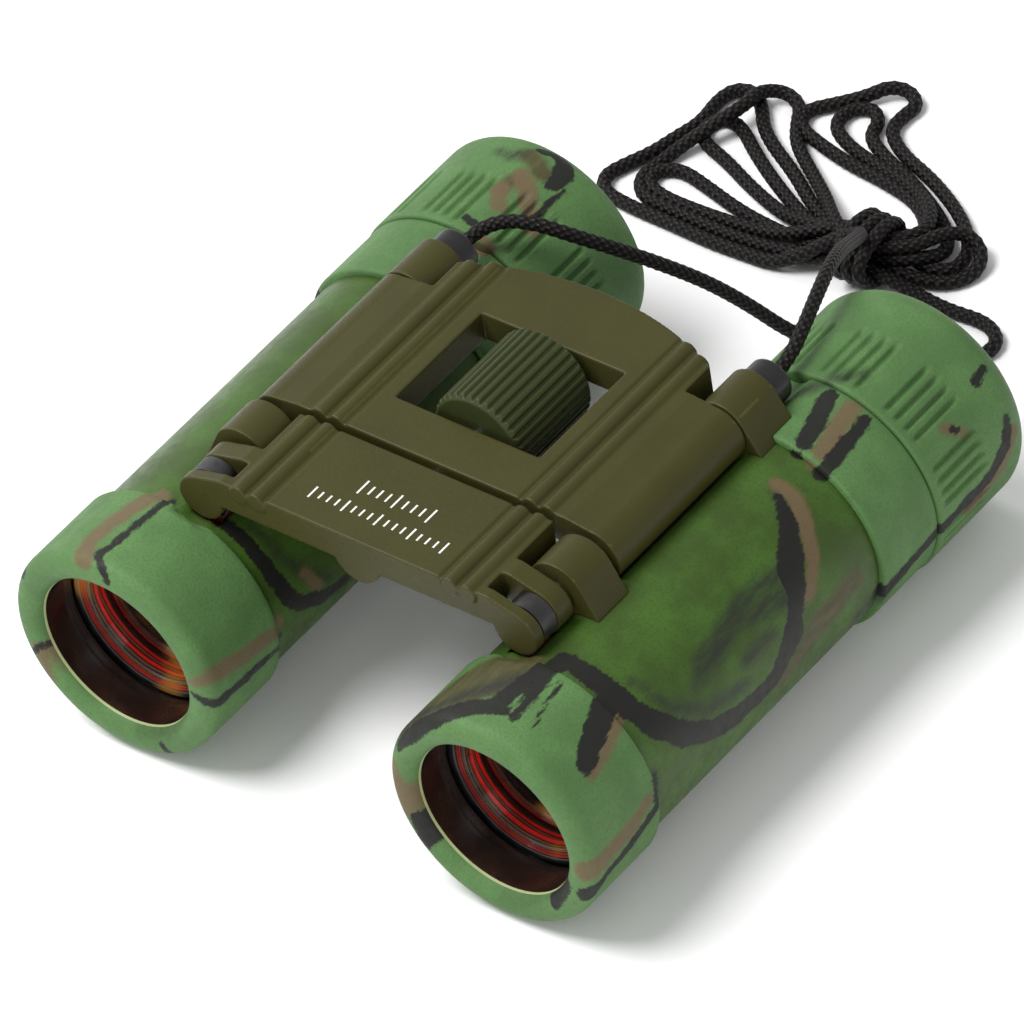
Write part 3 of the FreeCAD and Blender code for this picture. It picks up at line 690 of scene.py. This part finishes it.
# Radii that stay clear of the bridge's knuckles and plates about a hinge.
FRONT_CLEAR = 3.95 * MM
MIDDLE_CLEAR = 4.65 * MM
REAR_CLEAR = 3.75 * MM
HOOD_SEAT = 8.0 * MM
HOOD_MOUTH_DEPTH = 6.3 * MM
HOOD_RELIEF_START = 15.05 * MM
SLOT_HALF, SLOT_START, SLOT_END = 2.1 * MM, 17.2 * MM, 22.9 * MM
JOIN_GAP = 0.02 * MM


def make_hood(side_name, side, materials):
    """Hood; its materials are the armour, the mouth's lining, the pale lip (rubbed paint and a painted highlight)
    and the inner end.
    """
    start, end = span_y(f"{side_name}_objective_hood")
    seat = start + HOOD_SEAT
    mouth_end = start + HOOD_MOUTH_DEPTH
    piece = turned(f"{side_name}_hood_shell", side, [
        (HOOD_MOUTH, start, 2.2 * MM), (HOOD_RADIUS, start, 2.35 * MM),
        (HOOD_RADIUS, end, 0.35 * MM), (SPIGOT_RADIUS, end, FILLET),
        (SPIGOT_RADIUS, seat, FILLET), (BORE_RADIUS, seat, FILLET),
        (BORE_RADIUS, mouth_end, FILLET), (HOOD_MOUTH, mouth_end, FILLET),
    ], f"{side_name}_tube", materials,
        reshape=cleared_hinge(side, [(start + HOOD_RELIEF_START, end + MM, FRONT_CLEAR)]))
    for face in piece.data.polygons:
        centre = face.center
        reach = axis_reach(centre, side)
        # Faces at the mouth's rounding take the pale lip, a painted highlight with rubbed paint; those deeper in
        # take the lining.
        if reach < HOOD_MOUTH + 0.2 * MM and start + 1.5 * MM < centre[1] < seat:
            face.material_index = 1 if centre[1] > start + 2.0 * MM else 2
        if reach < BORE_RADIUS + 0.05 * MM and centre[1] >= mouth_end - 0.05 * MM:
            face.material_index = 1
        if reach < SPIGOT_RADIUS and centre[1] >= seat - 0.05 * MM:
            face.material_index = 3
    mark(piece, side_name)
    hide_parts(f"{side_name}_objective_hood")


def make_barrel(side_name, side, armour, lining):
    """Barrel between the hood and the sleeve, with the slot that the focusing arm passes."""
    start, end = span_y(f"{side_name}_barrel")
    hood_end = span_y(f"{side_name}_objective_hood")[1]
    body_end = span_y(f"{side_name}_sleeve")[0]
    radius = radius_of(f"{side_name}_barrel")
    front_lug, rear_lug = span_y(f"{side_name}_front_lug"), span_y(f"{side_name}_rear_lug")
    piece = turned(f"{side_name}_barrel_shell", side, [
        (BORE_RADIUS, start, FILLET), (SPIGOT_RADIUS, start, FILLET),
        (SPIGOT_RADIUS, hood_end + JOIN_GAP, 0.01 * MM), (radius, hood_end + JOIN_GAP, 0.2 * MM),
        (radius, body_end - JOIN_GAP, 0.2 * MM), (SPIGOT_RADIUS, body_end - JOIN_GAP, 0.01 * MM),
        (SPIGOT_RADIUS, end, FILLET), (BORE_RADIUS, end, FILLET),
    ], f"{side_name}_tube", [armour, lining],
        reshape=cleared_hinge(side, [(hood_end, front_lug[0], FRONT_CLEAR),
                                     (front_lug[1], rear_lug[0], MIDDLE_CLEAR)]))
    cut_box(piece, (HINGE_X * side - SLOT_HALF, FRONT_Y + SLOT_START, AXIS_Z + 8 * MM),
            (HINGE_X * side + SLOT_HALF, FRONT_Y + SLOT_END, AXIS_Z + radius + MM))
    for face in piece.data.polygons:
        reach = axis_reach(face.center, side)
        face.material_index = int(reach < SPIGOT_RADIUS + 0.05 * MM)
    mark(piece, side_name)
    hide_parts(f"{side_name}_barrel")


def make_sleeve(side_name, side, armour):
    """Sleeve round the rear of the barrel, up to the eyecup."""
    start, end = span_y(f"{side_name}_sleeve")
    radius = radius_of(f"{side_name}_sleeve")
    shoulder = start + 5 * MM
    lug_end = span_y(f"{side_name}_rear_lug")[1]
    piece = turned(f"{side_name}_sleeve_shell", side, [
        (SPIGOT_RADIUS, start, FILLET), (radius, start, 0.45 * MM), (radius, end, 0.3 * MM),
        (BORE_RADIUS, end, FILLET), (BORE_RADIUS, shoulder, FILLET),
        (SPIGOT_RADIUS, shoulder, FILLET),
    ], f"{side_name}_tube", [armour],
        reshape=cleared_hinge(side, [(lug_end, end + MM, REAR_CLEAR)]))
    mark(piece, side_name)
    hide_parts(f"{side_name}_sleeve")


GRIP_START_Y = 30.3 * MM
GRIP_END_Y = 39.9 * MM
GRIP_PITCH = math.radians(36)
GRIP_HALF = math.radians(12.6)
GRIP_GROOVES = 4
GRIP_DEPTH = 0.6 * MM
GRIP_FADE = 0.7 * MM  # length over which a groove's ends rise to the skin
GRIP_TURN = {"left": math.radians(-8 + 12.6), "right": math.radians(-21 + 12.6)}


def grip_patches(turn, cup_radius):
    """Reshape that sinks patches of short axial grooves round an eyecup."""
    def reshape(angle, y, radius):
        offset = (angle - turn + GRIP_PITCH / 2) % GRIP_PITCH - GRIP_PITCH / 2
        grooves = 0.5 - 0.5 * np.cos(2 * math.pi * GRIP_GROOVES * (offset / GRIP_HALF + 1) / 2)
        grooves = np.clip(2.2 * grooves - 0.9, 0, 1) * (np.abs(offset) < GRIP_HALF)
        ends = np.clip((y - GRIP_START_Y) / GRIP_FADE, 0, 1)
        ends = ends * np.clip((GRIP_END_Y - y) / GRIP_FADE, 0, 1)
        skin = radius > cup_radius - 0.01 * MM
        return radius - skin * GRIP_DEPTH * grooves * np.sqrt(ends)

    return reshape


def make_eyecup(side_name, side, armour):
    """Eyecup with its grip patches; the right one turns for the dioptre setting."""
    node = f"{side_name}_eyecup"
    start, end = span_y(node)
    radius = radius_of(node)
    cell_end = span_y(f"{side_name}_eye_lens_cell")[1]
    flange_radius, web_radius, neck_radius = 10.6 * MM, 9.5 * MM, 10.95 * MM
    web_rear = cell_end - 1.9 * MM
    web_front = web_rear - 2.1 * MM
    body = "right_diopter" if side_name == "right" else "left_tube"
    piece = turned(f"{side_name}_eyecup_shell", side, [
        (neck_radius, start, FILLET), (radius, start, 0.4 * MM), (radius, end, 4.4 * MM),
        (EYECUP_MOUTH, end, 0.4 * MM), (EYECUP_MOUTH, cell_end, FILLET),
        (flange_radius, cell_end, FILLET), (flange_radius, web_rear, FILLET),
        (web_radius, web_rear, FILLET), (web_radius, web_front, FILLET),
        (neck_radius, web_front, FILLET),
    ], body, [armour], around=540, step=0.0007,
        reshape=grip_patches(GRIP_TURN[side_name], radius))
    mark(piece, side_name)
    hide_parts(node)


# ---- bridge and lugs ----

PIN_BORE = 1.64 * MM
PIN_CORE = 0.9 * MM  # less than the radius of any wall about a pin


def softened(node, material, voxel, rounds):
    """Copy of a CAD casting with rounded edges, and its bores clear of the hinge pins."""
    source = frame["nodes"][node]
    piece = bpy.data.objects.new(f"{node}_casting", source.data.copy())
    bpy.context.collection.objects.link(piece)
    remesh = piece.modifiers.new("remesh", "REMESH")
    remesh.mode = "VOXEL"
    remesh.voxel_size = voxel
    smooth = piece.modifiers.new("smooth", "SMOOTH")
    smooth.factor = 0.5
    smooth.iterations = rounds
    depsgraph = bpy.context.evaluated_depsgraph_get()
    mesh = bpy.data.meshes.new_from_object(piece.evaluated_get(depsgraph))
    piece.modifiers.clear()
    piece.data = mesh
    places = coordinates(mesh)
    for side in SIDES.values():
        offset = places[:, [0, 2]] - (HINGE_X * side, HINGE_Z)
        reach = np.hypot(offset[:, 0], offset[:, 1])
        wall = (reach > PIN_CORE) & (reach < PIN_BORE)
        places[wall, 0] = HINGE_X * side + offset[wall, 0] / reach[wall] * PIN_BORE
        places[wall, 2] = HINGE_Z + offset[wall, 1] / reach[wall] * PIN_BORE
    mesh.vertices.foreach_set("co", places.ravel())
    mesh.materials.clear()
    mesh.materials.append(material)
    mesh.polygons.foreach_set("use_smooth", [True] * len(mesh.polygons))
    body = next(name for name, members in frame["record"]["behaviour"]["bodies"].items()
                if node in members)
    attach(piece, body)
    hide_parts(node)
    return piece


PANEL_DROP = 0.55 * MM  # the printed panel lies this far below the plate's ribs
INK_LIFT = 0.012 * MM
TICK_HALF_WIDTH = 0.15 * MM
TICK_ROWS = [
    # (place from the plate's middle, number of lines, pitch, half length of a long line)
    (0.85 * MM, 9, 1.45 * MM, 1.4 * MM),
    (-3.3 * MM, 17, 1.4 * MM, 1.15 * MM),
]
SHORT_TICK = 0.6


def make_ticks():
    """Plain white scale printed on the front plate, in two rows."""
    low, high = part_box("front_bridge")
    top = high[2] - PANEL_DROP + INK_LIFT
    middle_y = (low[1] + high[1]) / 2
    ink = Material("white_ink")
    ink.set("Base Color", ink.mix(ink.noise(1800, 3), (0.62, 0.62, 0.58), (0.8, 0.8, 0.77)))
    ink.set("Roughness", 0.6)
    points = []
    faces = []
    for place, count, pitch, long_half in TICK_ROWS:
        row_y = middle_y + place
        for index in range(count):
            x = (index - (count - 1) / 2) * pitch + 0.8 * MM
            half_length = long_half * (1.0 if index % 4 == 0 else SHORT_TICK)
            first = len(points)
            points += [(x - TICK_HALF_WIDTH, row_y - half_length, top),
                       (x + TICK_HALF_WIDTH, row_y - half_length, top),
                       (x + TICK_HALF_WIDTH, row_y + half_length, top),
                       (x - TICK_HALF_WIDTH, row_y + half_length, top)]
            faces.append((first, first + 1, first + 2, first + 3))
    new_piece("front_plate_scale", points, faces, "front_plate", [ink.data])


# ---- neck strap ----

CORD_DIAMETER = 2.1 * MM
CAP_REAR_Y = span_y("left_strap_cap")[1] / MM
# Control points in millimetres. The cord runs from the left barrel's
# cap through the tie and its loops, and back to the right barrel's cap.
LEFT_LEAD = [
    (26.9, CAP_REAR_Y, 35.95), (26.9, 28.6, 36.5), (25.6, 33.8, 37.5), (23.4, 39.8, 37.6),
    (20.6, 46.6, 36.6), (16.6, 53.9, 32.0), (11.5, 61.4, 24.9), (6.1, 69.2, 17.4),
    (2.4, 74.6, 12.3), (-0.6, 77.6, 9.0),
]
HANK = [
    # out along the front edge, round the outside of the left fan and back
    (-4.6, 77.4, 6.6), (-8.6, 75.2, 3.6), (-13, 73.1, 1.3), (-18, 72.9, 1.05), (-24, 72.6, 1.05),
    (-31, 72.9, 1.05), (-38, 73.0, 1.05), (-43.6, 73.6, 1.05), (-45.8, 76.4, 1.05),
    (-44.4, 80.2, 1.05), (-42.6, 84.0, 1.05), (-41.6, 88.4, 1.05), (-40.4, 92.6, 1.05),
    (-41.2, 97.6, 1.05), (-40.4, 101.0, 1.05), (-37.2, 101.8, 1.05), (-34.4, 99.2, 1.05),
    (-32.0, 96.2, 1.05),
    (-28.4, 93.6, 1.05), (-22.0, 90.2, 1.05), (-16.2, 86.2, 1.05), (-10.8, 83.4, 2.0),
    (-5.0, 82.8, 3.4),
    # outer loop of the right fan, out to its tip and back inside
    (2.2, 82.8, 3.4), (6.4, 82.4, 1.8), (9.8, 84.2, 1.05), (9.9, 88.4, 1.05), (6.6, 92.4, 1.05),
    (2.2, 95.6, 1.05), (-4.2, 98.9, 1.05), (-11.2, 101.2, 1.05), (-15.6, 104.4, 1.05),
    (-15.8, 107.8, 1.05), (-15.2, 110.8, 1.05), (-17.8, 112.6, 1.4), (-20.6, 111.4, 2.0),
    (-22.6, 108.6, 1.4),
    (-25.6, 105.6, 1.05), (-28.8, 102.2, 1.05), (-27.6, 98.8, 1.05), (-22.8, 97.2, 1.05),
    (-16.6, 95.8, 1.05), (-9.8, 95.2, 1.05), (-3.2, 93.8, 1.05), (1.0, 90.6, 1.05),
    (2.6, 86.8, 2.4), (0.8, 83.4, 5.0), (-4.0, 82.0, 5.6),
    # short loop of the left fan
    (-10.0, 79.2, 4.2), (-15.6, 77.8, 1.8), (-22.6, 77.4, 1.05), (-30.2, 76.9, 1.05),
    (-36.0, 77.0, 1.05), (-39.4, 78.2, 1.05), (-39.8, 81.2, 1.05), (-36.8, 83.0, 1.05),
    (-31.4, 81.8, 1.05),
    (-24.6, 80.0, 1.05), (-17.8, 79.2, 1.05), (-10.8, 78.6, 1.6), (-5.0, 78.4, 3.4),
    # inner loop of the right fan
    (2.4, 79.4, 3.6), (6.0, 82.2, 3.6), (7.6, 86.0, 2.0), (5.0, 90.2, 1.05), (0.4, 93.6, 1.05),
    (-6.6, 97.2, 1.05), (-12.8, 99.4, 1.05), (-17.4, 101.8, 1.05), (-18.0, 105.4, 1.05),
    (-20.6, 107.2, 1.05), (-23.4, 105.4, 1.05), (-23.4, 101.4, 1.05), (-18.8, 98.8, 1.05),
    (-12.2, 97.3, 1.05),
    (-5.4, 95.8, 1.4), (0.4, 92.4, 3.2), (3.6, 88.4, 4.2), (4.0, 84.2, 5.2), (1.0, 81.2, 5.6),
    (-4.6, 80.6, 5.6),
    # middle loop of the left fan
    (-11.2, 80.8, 3.4), (-17.2, 81.8, 1.4), (-25.4, 84.6, 1.05), (-32.6, 87.8, 1.05),
    (-37.4, 89.2, 1.05), (-39.6, 91.8, 1.05), (-38.4, 95.0, 1.05), (-34.8, 94.8, 1.05),
    (-29.6, 91.0, 1.05),
    (-23.2, 87.2, 1.05), (-16.6, 83.9, 1.05), (-10.4, 81.2, 1.8), (-5.0, 80.6, 3.4),
    # short turn beside the tie
    (2.4, 79.4, 2.6), (7.0, 80.2, 1.4), (11.2, 82.2, 1.05), (13.0, 85.8, 1.05), (12.0, 89.0, 2.2),
    (8.8, 89.8, 3.8), (6.4, 86.6, 4.8), (5.2, 82.4, 5.2), (1.0, 79.4, 5.6), (-4.0, 78.8, 5.6),
    # out to the fan's rear tip, across its loops and back along the front
    (-8.4, 81.6, 5.2), (-13.2, 86.2, 3.2), (-19.6, 91.2, 1.4), (-25.6, 95.4, 1.05),
    (-28.2, 99.2, 1.05), (-29.8, 102.4, 1.3), (-33.2, 103.4, 1.8), (-35.8, 100.8, 2.8),
    (-35.2, 96.4, 3.6),
    (-36.6, 91.6, 3.4), (-39.4, 86.8, 1.6), (-40.4, 82.4, 1.05), (-41.0, 78.6, 1.05),
    (-38.2, 75.4, 1.05), (-31.6, 75.2, 1.05), (-24.2, 74.9, 1.05), (-16.4, 75.5, 1.05),
    (-9.4, 76.2, 1.8), (-4.6, 76.2, 3.2),
]
RIGHT_LEAD = [
    (2.2, 77.2, 3.2), (7.0, 77.8, 1.6), (13.6, 77.4, 1.05), (20.6, 78.2, 1.05),
    (24.6, 75.2, 1.05), (23.2, 70.6, 1.05), (17.6, 67.4, 1.05), (10.8, 65.2, 1.05),
    (5.2, 61.6, 2.4), (1.2, 57.8, 7.0), (-1.6, 54.0, 13.4), (-4.4, 49.4, 20.0), (-7.6, 44.2, 26.0),
    (-11.2, 39.2, 31.2), (-15.4, 35.4, 34.8), (-19.8, 33.0, 37.0), (-23.8, 31.2, 37.3),
    (-26.5, 28.2, 36.6), (-26.9, CAP_REAR_Y, 35.95),
]


def centreline(name, points):
    """Points in metres along the smooth NURBS line that a route's control points give."""
    curve = bpy.data.curves.new(name, "CURVE")
    curve.dimensions = "3D"
    spline = curve.splines.new("NURBS")
    spline.points.add(len(points) - 1)
    for point, place in zip(spline.points, points):
        point.co = (*(value * MM for value in place), 1)
    spline.order_u = 3
    spline.use_endpoint_u = True
    spline.resolution_u = 8
    holder = bpy.data.objects.new(name, curve)
    bpy.context.collection.objects.link(holder)
    depsgraph = bpy.context.evaluated_depsgraph_get()
    mesh = bpy.data.meshes.new_from_object(holder.evaluated_get(depsgraph))
    places = [vertex.co.copy() for vertex in mesh.vertices]
    bpy.data.objects.remove(holder)
    bpy.data.curves.remove(curve)
    bpy.data.meshes.remove(mesh)
    return places


def evenly_spaced(places, step):
    """The same line with its points a fixed step apart."""
    places = np.array(places)
    reach = np.concatenate([[0], np.cumsum(np.linalg.norm(np.diff(places, axis=0), axis=1))])
    stops = np.linspace(0, reach[-1], max(2, round(reach[-1] / step)))
    return np.stack([np.interp(stops, reach, places[:, axis]) for axis in range(3)], axis=-1)


BRAID_ROWS = 6  # strands round the cord
BRAID_ROW_LENGTH = 1.4 * MM
BRAID_LOW, BRAID_RISE = 0.88, 0.14  # a strand's radius from its edge to its top, of the cord's


def braid_tube(name, places, diameter, body, material, sides=24, step=0.0002):
    """Tube along a line, with the staggered bumps of a round braid."""
    line = evenly_spaced(places, step)
    ahead = np.gradient(line, axis=0)
    ahead /= np.linalg.norm(ahead, axis=1)[:, None]
    out = np.cross(ahead[0], (0, 0, 1))
    outs = []
    for direction in ahead:
        out = out - direction * np.dot(out, direction)
        out = out / np.linalg.norm(out)
        outs.append(out)
    outs = np.array(outs)
    besides = np.cross(ahead, outs)
    angle = np.linspace(0, 2 * math.pi, sides, endpoint=False)[None, :]
    along = np.arange(len(line))[:, None] * step
    row = 2 * math.pi * along / BRAID_ROW_LENGTH
    weave = 0.5 + 0.5 * np.cos(BRAID_ROWS * angle) * np.cos(row)
    radius = diameter / 2 * (BRAID_LOW + BRAID_RISE * weave)
    points = (line[:, None, :]
              + (radius * np.cos(angle))[..., None] * outs[:, None, :]
              + (radius * np.sin(angle))[..., None] * besides[:, None, :]).reshape(-1, 3)
    points[:, 2] = np.maximum(points[:, 2], 0)
    faces = []
    for ring in range(len(line) - 1):
        for column in range(sides):
            beside = (column + 1) % sides
            faces.append((ring * sides + column, ring * sides + beside,
                          (ring + 1) * sides + beside, (ring + 1) * sides + column))
    faces.append(tuple(range(sides))[::-1])
    faces.append(tuple((len(line) - 1) * sides + column for column in range(sides)))
    piece = new_piece(name, points, faces, body, [material])
    store(piece.data, "braid_along", np.repeat(along / BRAID_ROW_LENGTH, sides))
    store(piece.data, "braid_cos", np.tile(np.cos(angle[0]), len(line)))
    store(piece.data, "braid_sin", np.tile(np.sin(angle[0]), len(line)))
    return piece


TIE_WRAPS = 3
TIE_STEPS = 12  # route points per wrap
TIE_TUCK = 5  # route points of each end, which spirals in under the wraps
TIE_START_X, TIE_END_X = -3.9, 1.9
TIE_MIDDLE_Y, TIE_MIDDLE_Z = 79.6, 4.5
TIE_HALF_Y, TIE_HALF_Z = 5.6, 3.4


def tie_route():
    """Wraps about the middle of the hank, in millimetres, a little uneven as wound by hand."""
    total = TIE_WRAPS * TIE_STEPS
    turns = []
    for index in range(-TIE_TUCK, total + TIE_TUCK + 1):
        angle = 2 * math.pi * index / TIE_STEPS - math.pi / 2
        inside = 1 - 0.13 * max(-index, index - total, 0)
        wander = 0.12 * math.sin(1.7 * index)
        turns.append((TIE_START_X + (TIE_END_X - TIE_START_X) * index / total + wander,
                      TIE_MIDDLE_Y + TIE_HALF_Y * inside * math.cos(angle),
                      TIE_MIDDLE_Z + TIE_HALF_Z * inside * math.sin(angle)))
    return turns


def make_strap(material):
    """The tie's wraps, and the one cord that runs from cap to cap through them."""
    tie = braid_tube("strap_tie_wraps", centreline("tie_route", tie_route()), CORD_DIAMETER,
                     "bridge", material)
    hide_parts("strap_tie")
    route = centreline("strap_route", LEFT_LEAD + HANK + RIGHT_LEAD)
    cord = braid_tube("neck_strap", route, CORD_DIAMETER, "bridge", material)
    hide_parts("neck_strap_left_lead", "neck_strap_right_lead", "strap_hank_left",
                "strap_hank_right")


# ---- assembly ----

def give(node, material):
    """Puts one material on a CAD node that is kept as it is."""
    for slot in frame["nodes"][node].material_slots:
        slot.material = material


make_camera()
make_studio()

# The second colour of each paint is its lighter edge colour: rubbed paint with a painted highlight.
bridge_paint = painted_metal("bridge_paint", srgb(58, 56, 24), srgb(118, 114, 66), 0.42)
wheel_paint = painted_metal("wheel_paint", srgb(50, 56, 28), srgb(112, 114, 72), 0.45)
black_plastic = plastic("black_plastic", srgb(22, 22, 22), 0.35)
steel = bare_metal("steel", srgb(150, 150, 148), 0.3)
brass = bare_metal("brass", srgb(190, 160, 90), 0.3)
glass = clear_glass("clear_glass")
lining = hood_lining("hood_lining")
# Pale lip band: rubbed paint on the hood's lip, with a painted highlight where its rounding catches the light.
lit_worn_lip = plastic("lit_worn_lip", srgb(150, 158, 112), 0.5)
body_armour = camouflage("armour_dark", srgb(54, 76, 26), srgb(64, 96, 34), 0.42, 0.3)
cup_armour = camouflage("armour_light", srgb(76, 110, 62), srgb(86, 122, 70), 0.6, 0.8)

for side_name, side in SIDES.items():
    make_hood(side_name, side, [cup_armour, lining, lit_worn_lip, black_plastic])
    make_barrel(side_name, side, body_armour, black_plastic)
    make_sleeve(side_name, side, cup_armour)
    make_eyecup(side_name, side, cup_armour)
    softened(f"{side_name}_front_lug", bridge_paint, 0.16 * MM, 4)
    softened(f"{side_name}_rear_lug", bridge_paint, 0.16 * MM, 4)
    # Each optic material paints reflections and a glint into its colour bands.
    give(f"{side_name}_objective_lens",
         coating_with_painted_reflections(f"{side_name}_lens_coating_and_reflections", AXIS_X * side, 0.06))
    give(f"{side_name}_retaining_ring",
         coating_with_painted_reflections(f"{side_name}_ring_anodising_and_reflections", AXIS_X * side, 0.2))
    give(f"{side_name}_objective_cell",
         coating_with_painted_reflections(f"{side_name}_cell_anodising_and_reflections", AXIS_X * side, 0.3, coat=0.0))
    give(f"{side_name}_hinge_pin", steel)
    for part in ("strap_cap", "prism_holder", "eyepiece_tube", "field_stop", "eye_lens_cell"):
        give(f"{side_name}_{part}", black_plastic)
    for part in ("front_prism", "rear_prism", "field_lens", "eye_lens"):
        give(f"{side_name}_{part}", glass)
softened("front_bridge", bridge_paint, 0.18 * MM, 4)
softened("rear_bridge", bridge_paint, 0.18 * MM, 4)
softened("focus_wheel", wheel_paint, 0.12 * MM, 2)
make_ticks()
give("focus_shaft", steel)
give("focus_nut", brass)
make_strap(braided_cord("strap_cord"))
